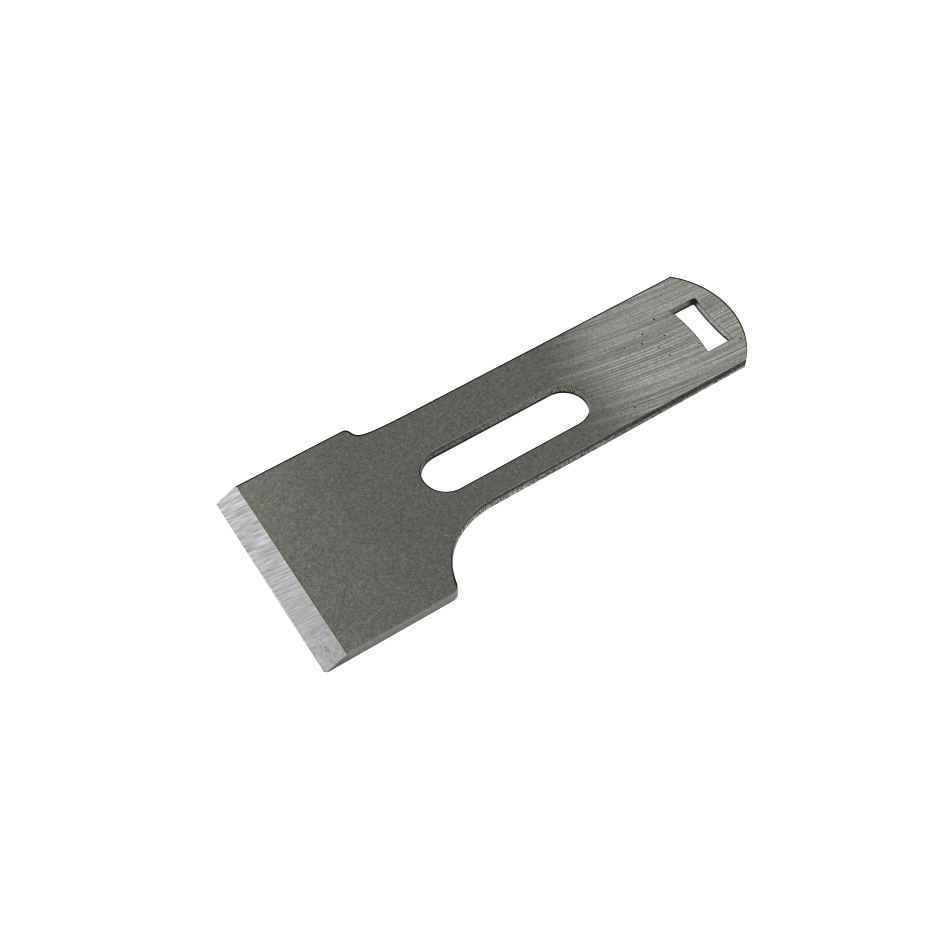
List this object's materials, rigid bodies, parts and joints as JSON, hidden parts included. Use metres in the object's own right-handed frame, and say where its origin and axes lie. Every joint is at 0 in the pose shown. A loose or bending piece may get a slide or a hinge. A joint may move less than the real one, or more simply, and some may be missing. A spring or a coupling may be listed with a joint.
{
  "type": "plane iron",
  "caption": "Flat steel plane iron with a wide bevelled cutting head, a neck offset to one side, a clamping slot and a waisted adjuster hole.",
  "frame": {"origin": "bottom centre of the blade's box: on the flat back, on the head's middle line, half-way between the cutting edge and the tip of the tail", "axes": "+X along the blade from the cutting edge to the tail, +Y across it towards the side with the small shoulder, +Z out of the bevel side, square to the flat back"},
  "size_m": [0.0974, 0.038, 0.0022],
  "materials": {
    "blade_steel": "hardened steel: matt tumbled grey on the head and neck, coarse lengthwise grinding at the tail, bright fine-ground bevel"
  },
  "bodies": {
    "root": {"plane_iron": "blade_steel"}
  },
  "joints": []
}
